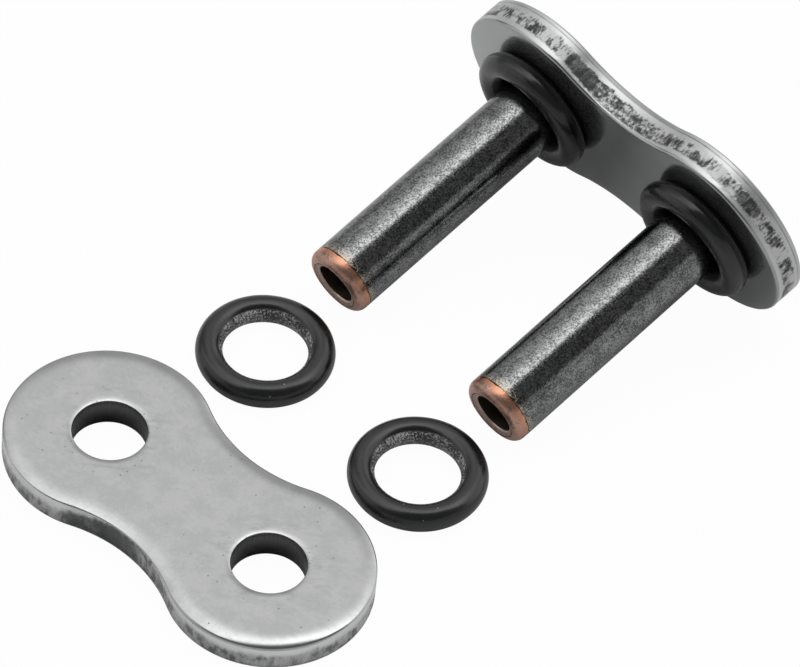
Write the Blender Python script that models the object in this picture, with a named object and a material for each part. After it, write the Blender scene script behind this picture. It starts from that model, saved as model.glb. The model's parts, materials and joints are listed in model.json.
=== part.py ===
"""Rivet-type connecting link of a sealed roller chain, laid out on a bench before it is fitted.

The rear plate stands with both pins pressed in and a seal ring pushed home on each pin. The link
leans forward until the free ends of the pins touch the bench. The two other seal rings lie flat
in front of the pins, and the loose front plate lies flat in front of the rings, outer face up.

Metres, +Z up. +X runs along the pitch, +Y runs from the front plate to the rear plate, and the
origin is on the bench under the middle of the set.
"""

import math

import bmesh
import bpy
from mathutils import Matrix, Vector

MM = 0.001

# Chain pitch, the distance between the two pins: five eighths of an inch.
PITCH = 15.875 * MM

# Pins. The free end is drilled so that it can be spread over the front plate.
PIN_DIAMETER = 5.3 * MM
PIN_REACH = 20.8 * MM  # rear plate's inner face to the free end
PIN_END_TAPER = 0.27 * MM  # how much the free end narrows, all round
PIN_END_TAPER_LENGTH = 0.42 * MM
PIN_END_WALL = 1.15 * MM  # left around the drilled hole
PIN_HOLE_DEPTH = 2.4 * MM
PIN_HOLE_CONE = 0.6 * MM  # drill point beyond the full depth
PIN_HOLE_BREAK = 0.1 * MM
PIN_PLATING_LENGTH = 0.7 * MM  # copper on the free end

# Staked head of a pin on the rear plate's outer face.
HEAD_SPREAD = 0.35 * MM  # beyond the shank, all round
HEAD_RIM = 0.15 * MM
HEAD_CROWN = 0.3 * MM  # dome above the rim

# Link plates. Both have the same outline, and the rear one is a little thicker.
FRONT_PLATE_THICKNESS = 2.35 * MM
REAR_PLATE_THICKNESS = 2.55 * MM
PLATE_HEIGHT = 14.75 * MM  # across a round end
WAIST_RELIEF = 1.82 * MM  # how far each side is drawn in at the waist
LOBE_STEP = 0.09 * MM  # centre of a round end, outboard of its hole
DIE_ROLL_WIDTH = 1.4 * MM  # the blanking tool rolls the outer face's edge down
DIE_ROLL_DEPTH = 0.2 * MM
INNER_EDGE_ROUND = 0.2 * MM
HOLE_EDGE_BREAK = 0.1 * MM

# Seal rings, round in section.
RING_SECTION = 1.95 * MM
RING_BORE_CLEARANCE = 0.7 * MM  # ring bore over the pin's diameter

# Fits.
PRESS_GAP = 0.01 * MM  # radial, pin in plate, so that the two solids stay apart
SEAT_GAP = 0.02 * MM  # face to face

# Places on the bench.
PLATE_TO_RING = 1.58 * MM  # front plate's edge to the left ring
RING_TO_PIN = 1.96 * MM  # left ring's edge to the pins' free ends
FRONT_PLATE_SIDE_STEP = 0.63 * MM  # the front plate lies left of the link
FRONT_PLATE_TURN = math.radians(0.56)
SEATED_RING_SIDE_STEP = 0.16 * MM  # off its pin's axis, outward, inside the bore's clearance
LEFT_RING_SIDE_STEP = 0.38 * MM  # from its pin, towards the middle
RIGHT_RING_SIDE_STEP = 0.39 * MM
RIGHT_RING_BACK_STEP = 0.26 * MM

# Facets.
ROUND_SIDES = 32
RING_SIDES = 40
RING_SECTION_SIDES = 12
LOBE_STEPS = 26
WAIST_STEPS = 8
ROLL_STEPS = 4
EDGE_STEPS = 2
CROWN_STEPS = 4
SMOOTH_ANGLE = math.radians(35)
WELD = 1e-4 * MM

# Sizes that follow from the ones above.
PIN_RADIUS = PIN_DIAMETER / 2
HOLE_RADIUS = PIN_RADIUS + PRESS_GAP
LOBE_RADIUS = PLATE_HEIGHT / 2
RING_SECTION_RADIUS = RING_SECTION / 2
RING_RADIUS = (PIN_DIAMETER + RING_BORE_CLEARANCE + RING_SECTION) / 2  # middle of the section
RING_OUTER_RADIUS = RING_RADIUS + RING_SECTION_RADIUS

# The link stands on the rear plate's lower edge and on the lower edge of the pins' free ends.
LINK_LEAN = math.atan2(
    LOBE_RADIUS - PIN_RADIUS, PIN_REACH - PIN_END_TAPER_LENGTH + INNER_EDGE_ROUND
)
LINK_RISE = LOBE_RADIUS * math.cos(LINK_LEAN) - INNER_EDGE_ROUND * math.sin(LINK_LEAN)


def principled(name, colour, metallic, roughness):
    """A plain material with a Principled BSDF."""
    material = bpy.data.materials.new(name)
    material.use_nodes = True
    shader = material.node_tree.nodes["Principled BSDF"]
    shader.inputs["Base Color"].default_value = (*colour, 1.0)
    shader.inputs["Metallic"].default_value = metallic
    shader.inputs["Roughness"].default_value = roughness
    return material


def empty(name, parent=None):
    """An empty that carries pieces."""
    carrier = bpy.data.objects.new(name, None)
    carrier.empty_display_size = PITCH
    carrier.parent = parent
    bpy.context.collection.objects.link(carrier)
    return carrier


def piece(name, bm, parent, materials):
    """Makes a smooth-shaded object of a bmesh and hangs it on its carrier."""
    bmesh.ops.remove_doubles(bm, verts=bm.verts, dist=WELD)
    bmesh.ops.recalc_face_normals(bm, faces=bm.faces)
    mesh = bpy.data.meshes.new(name)
    bm.to_mesh(mesh)
    bm.free()
    for material in materials:
        mesh.materials.append(material)
    mesh.shade_smooth()
    mesh.set_sharp_from_angle(angle=SMOOTH_ANGLE)
    made = bpy.data.objects.new(name, mesh)
    made.parent = parent
    bpy.context.collection.objects.link(made)
    return made


def turn(bm, profile, sides, centre=(0.0, 0.0), closed=False):
    """Turns a profile of (radius, height) points about an upright axis through centre."""
    verts = [bm.verts.new((centre[0] + radius, centre[1], height)) for radius, height in profile]
    pairs = list(zip(verts, verts[1:]))
    if closed:
        pairs.append((verts[-1], verts[0]))
    edges = [bm.edges.new(pair) for pair in pairs]
    bmesh.ops.spin(
        bm,
        geom=verts + edges,
        cent=(centre[0], centre[1], 0.0),
        axis=(0.0, 0.0, 1.0),
        angle=2 * math.pi,
        steps=sides,
    )


def arc(centre, radius, start, end, steps):
    """Points along an arc, without its last one."""
    for step in range(steps):
        angle = start + (end - start) * step / steps
        yield (centre[0] + radius * math.cos(angle), centre[1] + radius * math.sin(angle))


def plate_outline(inset):
    """The plate's outline, drawn in by inset: two round ends joined by two tangent waist arcs."""
    reach = PITCH / 2 + LOBE_STEP
    waist = LOBE_RADIUS - WAIST_RELIEF
    waist_radius = (reach**2 + waist**2 - LOBE_RADIUS**2) / (2 * WAIST_RELIEF)
    rise = waist + waist_radius
    tangent = math.atan2(rise, -reach)
    lean = math.atan2(reach, rise)
    down = -math.pi / 2
    right = list(arc((reach, 0.0), LOBE_RADIUS - inset, -tangent, tangent, LOBE_STEPS))
    top = list(arc((0.0, rise), waist_radius + inset, down + lean, down - lean, WAIST_STEPS))
    half = right + top
    return half + [(-x, -y) for x, y in half]


def plate_blank(thickness):
    """The blanked plate: inner face at height 0, die-rolled outer face at its thickness."""
    levels = []
    for step in range(EDGE_STEPS + 1):
        angle = math.pi / 2 * step / EDGE_STEPS
        inset = INNER_EDGE_ROUND * (1 - math.sin(angle))
        levels.append((inset, INNER_EDGE_ROUND * (1 - math.cos(angle))))
    for step in range(ROLL_STEPS + 1):
        angle = math.pi / 2 * step / ROLL_STEPS
        inset = DIE_ROLL_WIDTH * (1 - math.cos(angle))
        levels.append((inset, thickness - DIE_ROLL_DEPTH * (1 - math.sin(angle))))
    bm = bmesh.new()
    loops = []
    for inset, height in levels:
        loops.append([bm.verts.new((x, y, height)) for x, y in plate_outline(inset)])
    for lower, upper in zip(loops, loops[1:]):
        for i in range(len(lower)):
            bm.faces.new((lower[i - 1], lower[i], upper[i], upper[i - 1]))
    bm.faces.new(reversed(loops[0]))
    bm.faces.new(loops[-1])
    return bm


def hole_cutters(thickness):
    """Two turned cutters, a pitch apart, that also break both edges of each hole."""
    flare = HOLE_RADIUS + HOLE_EDGE_BREAK
    above = thickness + thickness
    profile = [
        (0.0, above),
        (flare, above),
        (flare, thickness),
        (HOLE_RADIUS, thickness - HOLE_EDGE_BREAK),
        (HOLE_RADIUS, HOLE_EDGE_BREAK),
        (flare, 0.0),
        (flare, -thickness),
        (0.0, -thickness),
    ]
    bm = bmesh.new()
    for side in (-1, 1):
        turn(bm, profile, ROUND_SIDES, centre=(side * PITCH / 2, 0.0))
    return bm


def link_plate(name, thickness, parent, steel):
    """A waisted link plate with its two pin holes."""
    plate = piece(name, plate_blank(thickness), parent, [steel])
    cutter = piece(name + "_hole_cutter", hole_cutters(thickness), plate, [steel])
    cutter.hide_render = True
    cutter.display_type = "WIRE"
    cut = plate.modifiers.new("pin holes", "BOOLEAN")
    cut.operation = "DIFFERENCE"
    cut.solver = "EXACT"
    cut.object = cutter
    return plate


def pin_profile():
    """Half section of a pin, from the staked head to the bottom of the drilled free end."""
    head_radius = PIN_RADIUS + HEAD_SPREAD
    head_seat = -REAR_PLATE_THICKNESS - SEAT_GAP
    rim = head_seat - HEAD_RIM
    hole_radius = PIN_RADIUS - PIN_END_WALL
    hole_floor = PIN_REACH - PIN_HOLE_DEPTH
    profile = []
    for step in range(CROWN_STEPS + 1):
        angle = math.pi / 2 * step / CROWN_STEPS
        profile.append((head_radius * math.sin(angle), rim - HEAD_CROWN * math.cos(angle)))
    profile += [
        (head_radius, head_seat),
        (PIN_RADIUS, head_seat),
        (PIN_RADIUS, PIN_REACH - PIN_PLATING_LENGTH),
        (PIN_RADIUS, PIN_REACH - PIN_END_TAPER_LENGTH),
        (PIN_RADIUS - PIN_END_TAPER, PIN_REACH),
        (hole_radius + PIN_HOLE_BREAK, PIN_REACH),
        (hole_radius, PIN_REACH - PIN_HOLE_BREAK),
        (hole_radius, hole_floor),
        (0.0, hole_floor - PIN_HOLE_CONE),
    ]
    return profile


def rivet_pin(name, side, parent, steel, copper):
    """A pin standing on the rear plate, with its plated free end."""
    bm = bmesh.new()
    turn(bm, pin_profile(), ROUND_SIDES)
    for face in bm.faces:
        middle = face.calc_center_median()
        face.material_index = int(middle.z > PIN_REACH - PIN_PLATING_LENGTH)
    pin = piece(name, bm, parent, [steel, copper])
    pin.location.x = side * PITCH / 2
    return pin


def seal_ring(name, place, parent, rubber):
    """A ring of round section, lying flat about its own middle."""
    section = arc((RING_RADIUS, 0.0), RING_SECTION_RADIUS, 0.0, 2 * math.pi, RING_SECTION_SIDES)
    bm = bmesh.new()
    turn(bm, list(section), RING_SIDES, closed=True)
    ring = piece(name, bm, parent, [rubber])
    ring.location = place
    return ring


def pinned_link(bench, y, steel, pin_steel, copper, rubber):
    """The rear plate with its pins and seated rings, leaning forward on the bench."""
    link = empty("pinned_link", bench)
    link.location = (0.0, y, LINK_RISE)
    link.rotation_euler = (math.pi / 2 + LINK_LEAN, 0.0, 0.0)
    plate = link_plate("rear_link_plate", REAR_PLATE_THICKNESS, link, steel)
    plate.rotation_euler = (math.pi, 0.0, 0.0)
    seat = RING_SECTION_RADIUS + SEAT_GAP
    for word, side in (("left", -1), ("right", 1)):
        rivet_pin(word + "_rivet_pin", side, link, pin_steel, copper)
        across = side * (PITCH / 2 + SEATED_RING_SIDE_STEP)
        seal_ring(word + "_seated_o_ring", (across, 0.0, seat), link, rubber)


def loose_pieces(bench, steel, rubber):
    """The front plate and the two rings that lie on the bench. Returns the pins' free-end line."""
    plate = link_plate("front_link_plate", FRONT_PLATE_THICKNESS, bench, steel)
    plate.location.x = -FRONT_PLATE_SIDE_STEP
    plate.rotation_euler = (0.0, 0.0, FRONT_PLATE_TURN)
    row = LOBE_RADIUS + PLATE_TO_RING + RING_OUTER_RADIUS
    left = LEFT_RING_SIDE_STEP - PITCH / 2
    right = PITCH / 2 - RIGHT_RING_SIDE_STEP
    seal_ring("left_loose_o_ring", (left, row, RING_SECTION_RADIUS), bench, rubber)
    back = row + RIGHT_RING_BACK_STEP
    seal_ring("right_loose_o_ring", (right, back, RING_SECTION_RADIUS), bench, rubber)
    return row + RING_OUTER_RADIUS + RING_TO_PIN


def centre_on_bench(bench):
    """Moves the whole set so that the origin is under its middle."""
    bpy.context.view_layer.update()
    low = Vector((math.inf, math.inf))
    high = Vector((-math.inf, -math.inf))
    for made in bpy.data.objects:
        if made.type != "MESH" or made.hide_render:
            continue
        for vert in made.data.vertices:
            place = (made.matrix_world @ vert.co).to_2d()
            low = Vector(map(min, low, place))
            high = Vector(map(max, high, place))
    bench.matrix_world = Matrix.Translation(((low + high) / -2).to_3d())


def main():
    for old in list(bpy.data.objects):
        bpy.data.objects.remove(old, do_unlink=True)
    steel = principled("ground_plate_steel", (0.46, 0.46, 0.45), 1.0, 0.25)
    pin_steel = principled("dark_pin_steel", (0.13, 0.13, 0.13), 1.0, 0.35)
    copper = principled("copper_plated_pin_end", (0.50, 0.28, 0.20), 1.0, 0.35)
    rubber = principled("black_nitrile_rubber", (0.02, 0.02, 0.02), 0.0, 0.45)
    bench = empty("bench")
    free_ends = loose_pieces(bench, steel, rubber)
    link_y = free_ends + PIN_REACH * math.cos(LINK_LEAN)
    pinned_link(bench, link_y, steel, pin_steel, copper, rubber)
    centre_on_bench(bench)


main()
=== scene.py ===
"""Looks of a rivet-type connecting link of a sealed roller chain, laid out on a pale bench.

The rear plate stands with its two pins and two seated seal rings. Two loose seal rings and the
loose front plate lie in front of it. Every piece is a finer mesh in the place of its CAD node and
rides on that node's body.
"""

import functools
import json
import logging
import math
from dataclasses import dataclass, field
from enum import Enum, IntEnum
from typing import Any, Iterable, Protocol, Sequence

import bmesh
import bpy
from mathutils import Matrix, Vector, noise


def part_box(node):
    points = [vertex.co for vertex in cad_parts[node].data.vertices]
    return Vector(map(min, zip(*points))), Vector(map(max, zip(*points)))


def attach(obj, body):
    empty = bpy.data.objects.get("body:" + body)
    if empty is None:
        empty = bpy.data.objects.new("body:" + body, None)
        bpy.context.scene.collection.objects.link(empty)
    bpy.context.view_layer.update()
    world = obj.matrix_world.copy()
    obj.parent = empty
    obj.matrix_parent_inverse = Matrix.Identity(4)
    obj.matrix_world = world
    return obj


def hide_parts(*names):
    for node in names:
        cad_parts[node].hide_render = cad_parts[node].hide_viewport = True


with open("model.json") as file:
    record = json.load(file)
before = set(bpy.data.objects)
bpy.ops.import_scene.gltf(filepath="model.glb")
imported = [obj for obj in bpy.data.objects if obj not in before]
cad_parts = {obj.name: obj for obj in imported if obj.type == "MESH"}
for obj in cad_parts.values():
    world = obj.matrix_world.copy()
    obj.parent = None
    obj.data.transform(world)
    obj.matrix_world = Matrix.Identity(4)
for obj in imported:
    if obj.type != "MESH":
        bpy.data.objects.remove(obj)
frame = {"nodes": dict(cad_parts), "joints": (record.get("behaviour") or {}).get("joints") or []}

MM = 0.001
LOG = logging.getLogger("connecting_link")
SHARP_ANGLE = math.radians(38)
WELD = 2e-5 * MM
OWN_PLACE = "own_place_mm"  # mesh attribute: each point in its piece's own axes

Point = tuple[float, float]
Vector3 = tuple[float, float, float]
Colour = tuple[float, float, float, float]
Tree = bpy.types.NodeTree
Node = bpy.types.Node
Socket = bpy.types.NodeSocket
SMOOTH = {"interpolation_type": "SMOOTHSTEP"}  # a soft start and end of a range
FROM, TO = (1, 2), (3, 4)  # sockets of a MapRange: the range that it reads and the range that it gives
FALL = (1.0, 0.0)  # a range from full to none
NOISE_SPAN, NOISE_MEAN = (0.3, 0.7), 0.5  # where most of a noise's values lie, and their middle


class Slot(str, Enum):
    """Material slots of the record."""

    PLATE = "plate_steel"
    PIN = "pin_steel"
    SEAL = "seal_rubber"


class Side(IntEnum):
    """Which end of the link a piece belongs to."""

    LEFT = -1
    RIGHT = 1

    @property
    def word(self) -> str:
        """The side's name as the CAD nodes write it."""
        return self.name.lower()


def linear(code: str) -> Colour:
    """Turns an sRGB hex colour to linear.

    Args:
        code: Colour such as "#c3c4c4".

    Returns:
        Linear red, green, blue and an alpha of 1.
    """
    parts = [int(code[i : i + 2], 16) / 255 for i in (1, 3, 5)]
    red, green, blue = (p / 12.92 if p <= 0.04045 else ((p + 0.055) / 1.055) ** 2.4 for p in parts)
    return (red, green, blue, 1.0)


def feed(tree: Tree, node: Node, inputs: dict[Any, Any]) -> None:
    """Sets or links a node's inputs.

    By number, a Mix takes its share at 0, two numbers at 2 and 3 and two colours at 6 and 7. A MapRange
    takes its value at 0 and carries it from the range FROM over to the range TO.

    Args:
        tree: Node tree that holds the node.
        node: The node to feed.
        inputs: Socket name or number to a value, a hex colour, a socket or a node (its first output in use),
            or a pair of sockets to a pair of these.
    """
    for name, value in inputs.items():
        if isinstance(name, tuple):
            feed(tree, node, dict(zip(name, value)))
            continue
        if isinstance(value, Node):
            value = next(output for output in value.outputs if output.enabled)
        if isinstance(value, Socket):
            tree.links.new(value, node.inputs[name])
        else:
            node.inputs[name].default_value = linear(value) if isinstance(value, str) else value


def add(tree: Tree, kind: str, inputs: dict[Any, Any] | None = None, **settings: Any) -> Node:
    """Adds a node with its settings and links.

    Args:
        tree: Node tree to add to.
        kind: Blender's name of the node type, without its leading ShaderNode.
        inputs: What feeds its sockets (see feed).
        settings: Attributes of the node.

    Returns:
        The new node.
    """
    made = tree.nodes.new(f"ShaderNode{kind}")
    for name, value in settings.items():
        setattr(made, name, value)
    feed(tree, made, inputs or {})
    return made


@dataclass(frozen=True)
class Finish:
    """A surface finish: a named material whose nodes are laid by its subclass."""

    name: str = "finish"

    @functools.cache
    def material(self) -> bpy.types.Material:
        """Makes the material once.

        Returns:
            The material, ready for a mesh slot.
        """
        made = bpy.data.materials.new(self.name)
        made.use_nodes = True
        tree = made.node_tree
        shader = tree.nodes["Principled BSDF"]
        place = add(tree, "Attribute", attribute_name=OWN_PLACE)
        self.paint(tree, shader, place.outputs["Vector"])
        return made

    def paint(self, tree: Tree, shader: Node, place: Socket) -> None:
        """Lays the finish's nodes.

        Args:
            tree: The material's node tree.
            shader: Its Principled BSDF.
            place: The point on the piece, in millimetres of the piece's own axes.
        """
        raise NotImplementedError


@dataclass(frozen=True)
class GroundFace(Finish):
    """Carbon steel, ground flat and tumbled: satin grey, cloudy, with scuffs and pits around the holes."""

    name: str = "ground_and_tumbled_carbon_steel"
    light: str = "#b0b0b1"
    cloud: str = "#a1a2a2"
    pit: str = "#555656"
    scuff: str = "#8b8d8d"
    cloud_mm: float = 1.9
    cloud_span: Point = (0.4, 0.6)  # noise where a cloud starts and is full
    cloud_weight: float = 0.5
    grain_mm: float = 0.24  # the grinding grain is finer; drawn this coarse to show
    grain_weight: float = 0.5
    scuff_mm: Point = (1.6, 0.55)  # length and width
    scuff_turn: float = math.radians(41.8)
    scuff_span: Point = (0.47, 0.72)  # noise where a scuff starts and is strongest
    scuff_most: float = 0.45  # how far the strongest scuff covers the steel
    hole_at_mm: float = 7.94
    worn_mm: Point = (3.4, 6.2)  # distance from a hole's middle where the wear is strongest and gone
    pit_spacing_mm: float = 0.75
    pit_mm: float = 0.075
    pit_core: float = 0.4  # share of a pit's radius at its full depth
    pit_share: float = 0.25  # share of the cells with a pit, around the holes
    pit_share_away: float = 0.15  # the same elsewhere, over that share
    pit_depth: Point = (0.3, 1.0)
    roughness: Point = (0.18, 0.24)
    relief_mm: float = 0.003

    def paint(self, tree: Tree, shader: Node, place: Socket) -> None:
        """Lays cloudy patches, fine grain, scuffs and pits (see Finish.paint)."""
        ragged = {"Vector": place, "Scale": 1 / self.cloud_mm, "Detail": 6.0, "Roughness": 0.68}
        cloud = add(tree, "TexNoise", ragged)
        patch = add(tree, "MapRange", {0: cloud, FROM: self.cloud_span}, **SMOOTH)
        grain = add(tree, "TexNoise", {"Vector": place, "Scale": 1 / self.grain_mm, "Detail": 3.0})
        faint = add(tree, "Math", {0: patch, 1: self.cloud_weight}, operation="MULTIPLY")
        mixed = add(tree, "Math", {0: grain, 1: self.grain_weight, 2: faint}, operation="MULTIPLY_ADD")
        plain = add(tree, "Mix", {0: mixed, 6: self.light, 7: self.cloud}, data_type="RGBA")
        folded = add(tree, "VectorMath", {0: place}, operation="ABSOLUTE")
        away = add(tree, "VectorMath", {0: folded, 1: (self.hole_at_mm, 0.0, 0.0)}, operation="DISTANCE")
        worn = add(tree, "MapRange", {0: away, FROM: self.worn_mm, TO: FALL}, **SMOOTH)
        long, wide = self.scuff_mm
        turn = {"Vector": place, "Angle": -self.scuff_turn}
        turned = add(tree, "VectorRotate", turn, rotation_type="Z_AXIS")
        drawn = add(tree, "VectorMath", {0: turned, 1: (1 / long, 1 / wide, 1.0)}, operation="MULTIPLY")
        scratch = add(tree, "TexNoise", {"Vector": drawn, "Scale": 1.0, "Detail": 3.0, "Roughness": 0.5})
        marks = add(tree, "MapRange", {0: scratch, FROM: self.scuff_span, 4: self.scuff_most}, **SMOOTH)
        scuffs = add(tree, "Math", {0: marks, 1: worn}, operation="MULTIPLY")
        tone = add(tree, "Mix", {0: scuffs, 6: plain, 7: self.scuff}, data_type="RGBA")
        spread = {"Vector": place, "Scale": 1 / self.pit_spacing_mm}
        cells = add(tree, "TexVoronoi", spread, voronoi_dimensions="2D")
        picked = add(tree, "SeparateColor", {0: cells.outputs["Color"]})
        few = self.pit_share * self.pit_share_away
        share = add(tree, "MapRange", {0: worn, 3: few, 4: self.pit_share})
        chosen = add(tree, "Math", {0: picked.outputs[0], 1: share}, operation="LESS_THAN")
        reach = self.pit_mm / self.pit_spacing_mm
        ends = {0: cells.outputs["Distance"], 1: reach * self.pit_core, 2: reach, TO: FALL}
        hollow = add(tree, "MapRange", ends, **SMOOTH)
        deep = add(tree, "MapRange", {0: picked.outputs[1], TO: self.pit_depth})
        uneven = add(tree, "Math", {0: chosen, 1: deep}, operation="MULTIPLY")
        pits = add(tree, "Math", {0: hollow, 1: uneven}, operation="MULTIPLY")
        colour = add(tree, "Mix", {0: pits, 6: tone, 7: self.pit}, data_type="RGBA")
        rough = add(tree, "MapRange", {0: grain, FROM: NOISE_SPAN, TO: self.roughness})
        height = add(tree, "Math", {0: grain, 1: pits}, operation="SUBTRACT")
        bump = add(tree, "Bump", {"Height": height, "Distance": self.relief_mm * MM, "Strength": 0.35})
        feed(tree, shader, {"Metallic": 1.0, "Base Color": colour, "Roughness": rough, "Normal": bump})


@dataclass(frozen=True)
class PolishedFace(Finish):
    """Carbon steel polished against the die: a soft dark mirror that shows the seal rings again."""

    name: str = "polished_carbon_steel"
    light: str = "#aaabab"
    dark: str = "#949696"
    cloud_mm: float = 3.5
    cloud_span: Point = (0.35, 0.65)  # noise where the haze is thinnest and thickest
    bare: float = 0.94  # share of bare metal; the rest is an oily haze that lifts the black reflections
    roughness: Point = (0.13, 0.2)

    def paint(self, tree: Tree, shader: Node, place: Socket) -> None:
        """Lays a faint haze over a mirror (see Finish.paint)."""
        ragged = {"Vector": place, "Scale": 1 / self.cloud_mm, "Detail": 6.0, "Roughness": 0.6}
        haze = add(tree, "TexNoise", ragged)
        colour = add(tree, "Mix", {0: haze, 6: self.light, 7: self.dark}, data_type="RGBA")
        rough = add(tree, "MapRange", {0: haze, FROM: self.cloud_span, TO: self.roughness})
        feed(tree, shader, {"Metallic": self.bare, "Base Color": colour, "Roughness": rough})


@dataclass(frozen=True)
class SoiledSpot:
    """A dark smear on a cut edge, in millimetres of the plate's own axes."""

    middle: Vector3
    reach: float
    core: float = 0.7  # share of the reach where it is full
    cover: float = 0.9  # how far it hides the steel there


@dataclass(frozen=True)
class ShearedEdge(Finish):
    """Blanked edge: a smooth band rubbed by the die, and a torn band broken up by short dark dashes."""

    name: str = "blanked_carbon_steel_edge"
    rubbed: str = "#dcdddd"
    torn_light: str = "#c2c3c2"
    torn_mid: str = "#acadac"
    torn_dark: str = "#787979"
    soil: str = "#3a3b3b"
    tear_mm: Point = (0.42, 1.1)  # width along the edge, length across it
    waist_tear_mm: Point = (0.42, 1.1)  # the same at the waist
    cluster_mm: float = 1.5
    drift_mm: float = 3.0  # length of the lighter and darker stretches
    drift: float = 0.0  # how far they differ
    speck_mm: float = 0.12  # torn grain is finer; drawn this coarse to show
    speck: float = 0.3  # how strong the grain is over the dashes
    ramp: Vector3 = (0.5, 0.64, 0.82)  # where the torn band is dark, mid and light
    clump: float = 0.8  # how far the dark dashes keep together
    waist_clump: float = 0.8  # the same at the waist
    band_mm: Point = (-0.5, 1.3)  # where the torn band starts and ends above the inner face
    band_edge_mm: Point = (-0.25, 0.4)  # how softly it ends
    band_foot_mm: float = 0.08  # how softly it starts
    fray_mm: float = 0.5  # how far the dashes shift both
    waist_band_mm: Point = (-0.5, 2.1)  # where it starts and ends at the waist
    waist_mm: Point = (1.5, 6.0)  # distance from the middle where that changes
    wave_mm: float = 0.7  # how far its end swings
    waist_shade: float = 0.12  # how much more of the torn band is dark at the waist
    soiled: tuple[SoiledSpot, ...] = ()
    soil_fray: float = 1.2  # how unevenly a smear ends
    soil_on_rubbed: float = 0.25  # share of a smear that holds on a rubbed band
    soil_speck: Point = (0.2, 1.3)  # how the grain breaks a smear up: least cover, and growth with the grain
    # painted shade: a grey band for the rolled corner's dim reflection, and a dark line for the shade in its
    # crease
    rolled: str = "#8b8c8c"
    roll_crease_shade: str = "#4d4e4e"
    roll_shade_mm: float = 9.0  # where a band of painted shade under the rolled corner starts; beyond the plate for none
    roll_shade_edge_mm: float = 0.05  # how softly it starts
    roll_shade_share: Point = (0.1, 0.95)  # how strong that painted shade is at the ends and at the waist
    roll_crease_shade_mm: Point = (0.02, 0.07)  # half width of the dark line of painted crease shade where the band starts, and its soft edge
    roughness: Point = (0.42, 0.22)  # of the torn and of the rubbed band
    bare: float = 1.0  # share of bare metal; the rest is a dry film that scatters light
    relief_mm: float = 0.02
    rubbed_relief: float = 0.06  # relief of the rubbed bands over that of the torn band

    def paint(self, tree: Tree, shader: Node, place: Socket) -> None:
        """Lays the torn band between two rubbed bands (see Finish.paint)."""
        axes = add(tree, "SeparateXYZ", {0: place})
        aside = add(tree, "Math", {0: axes.outputs[0]}, operation="ABSOLUTE")
        waist = add(tree, "MapRange", {0: aside, FROM: self.waist_mm, TO: FALL}, **SMOOTH)
        tears = []
        for wide, tall in (self.tear_mm, self.waist_tear_mm):
            drawn = {0: place, 1: (1 / wide, 1 / wide, 1 / tall)}
            streaks = add(tree, "VectorMath", drawn, operation="MULTIPLY")
            ragged = {"Vector": streaks, "Scale": 1.0, "Detail": 3.0, "Roughness": 0.6}
            tears.append(add(tree, "TexNoise", ragged))
        tear = add(tree, "Mix", {0: waist, 2: tears[0], 3: tears[1]}, data_type="FLOAT")
        speck = add(tree, "TexNoise", {"Vector": place, "Scale": 1 / self.speck_mm, "Detail": 2.0})
        cluster = add(tree, "TexNoise", {"Vector": place, "Scale": 1 / self.cluster_mm, "Detail": 2.0})
        stretch = {"Vector": place, "Scale": 1 / self.drift_mm, "Detail": 1.0}
        drift = add(tree, "TexNoise", stretch, noise_dimensions="4D")  # apart from the clusters' noise
        start, stop = self.band_mm
        waist_start, waist_stop = self.waist_band_mm
        top = add(tree, "MapRange", {0: waist, 3: stop, 4: waist_stop})
        foot = add(tree, "MapRange", {0: waist, 3: start, 4: waist_start})
        sway = add(tree, "Math", {0: cluster, 1: NOISE_MEAN}, operation="SUBTRACT")
        border = add(tree, "Math", {0: sway, 1: self.wave_mm, 2: top}, operation="MULTIPLY_ADD")
        fray = add(tree, "Math", {0: tear, 1: self.fray_mm, 2: -self.fray_mm / 2}, operation="MULTIPLY_ADD")
        height = add(tree, "Math", {0: axes.outputs[2], 1: fray}, operation="ADD")
        above = add(tree, "Math", {0: height, 1: border}, operation="SUBTRACT")
        upper = add(tree, "MapRange", {0: above, FROM: self.band_edge_mm}, **SMOOTH)
        below = add(tree, "Math", {0: height, 1: foot}, operation="SUBTRACT")
        ends = {0: below, 1: -self.band_foot_mm, 2: self.band_foot_mm, TO: FALL}
        lower = add(tree, "MapRange", ends, **SMOOTH)
        rubbed = add(tree, "Math", {0: upper, 1: lower}, operation="MAXIMUM")
        grain = add(tree, "Math", {0: speck, 1: self.speck, 2: tear}, operation="MULTIPLY_ADD")
        hold = add(tree, "MapRange", {0: waist, 3: self.clump, 4: self.waist_clump})
        patchy = add(tree, "Math", {0: sway, 1: hold, 2: grain}, operation="MULTIPLY_ADD")
        shade = add(tree, "Math", {0: waist, 1: -self.waist_shade, 2: patchy}, operation="MULTIPLY_ADD")
        long = add(tree, "Math", {0: drift, 1: NOISE_MEAN}, operation="SUBTRACT")
        uneven = add(tree, "Math", {0: long, 1: self.drift, 2: shade}, operation="MULTIPLY_ADD")
        torn = add(tree, "ValToRGB", {0: uneven})
        ramp = torn.color_ramp
        ramp.elements[0].position = self.ramp[0]
        ramp.elements[0].color = linear(self.torn_dark)
        ramp.elements[1].position = self.ramp[2]
        ramp.elements[1].color = linear(self.torn_light)
        ramp.elements.new(self.ramp[1]).color = linear(self.torn_mid)
        colour = add(tree, "Mix", {0: rubbed, 6: torn, 7: self.rubbed}, data_type="RGBA")
        colour = self.soil_over(tree, place, colour, rubbed, fray, speck)
        # painted shade of the rolled corner and of its crease
        colour = self.paint_roll_shade(tree, axes.outputs[2], colour, waist, cluster)
        rough = add(tree, "MapRange", {0: rubbed, TO: self.roughness})
        depth = add(tree, "MapRange", {0: rubbed, 3: 1.0, 4: self.rubbed_relief})
        relief = add(tree, "Math", {0: grain, 1: depth}, operation="MULTIPLY")
        bump = add(tree, "Bump", {"Height": relief, "Distance": self.relief_mm * MM, "Strength": 0.8})
        feed(tree, shader, {"Metallic": self.bare, "Base Color": colour, "Roughness": rough, "Normal": bump})

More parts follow.
